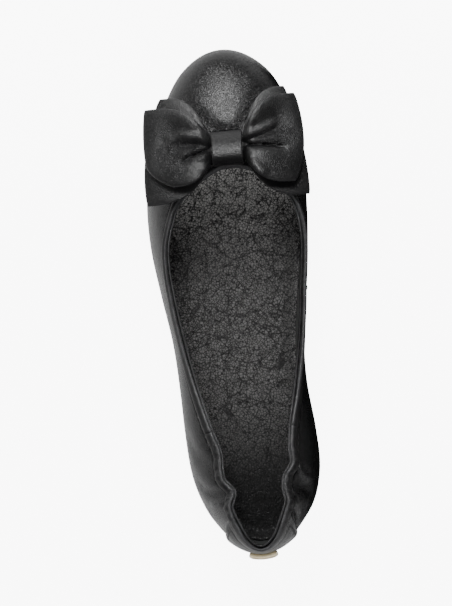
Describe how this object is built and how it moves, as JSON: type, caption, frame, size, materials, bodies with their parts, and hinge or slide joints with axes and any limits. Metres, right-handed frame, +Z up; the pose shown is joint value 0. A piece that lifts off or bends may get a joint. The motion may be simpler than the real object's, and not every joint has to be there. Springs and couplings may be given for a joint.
{
  "type": "ballet flat",
  "caption": "Left ballet flat in smooth black leather with a double ribbon bow, a bound throat, a gathered elastic heel collar, a heel tab with a plain metal bar and a low heel.",
  "frame": {"origin": "on the floor under the middle of the shoe's bounding box", "axes": "+Y towards the toe, +X towards the medial side, +Z up"},
  "size_m": [0.0802, 0.2464, 0.0591],
  "materials": {
    "black_leather": "smooth, semi-gloss",
    "insole_leather": "grained, satin",
    "black_rubber": "matte",
    "pale_gold": "polished"
  },
  "bodies": {
    "root": {"outsole": "black_rubber", "heel": "black_rubber", "insole": "insole_leather", "upper": "black_leather", "topline_binding": "black_leather", "elastic_collar": "black_leather", "heel_tab": "black_leather", "heel_plate": "pale_gold", "bow_back": "black_leather", "bow_front": "black_leather", "bow_knot": "black_leather"}
  },
  "joints": []
}
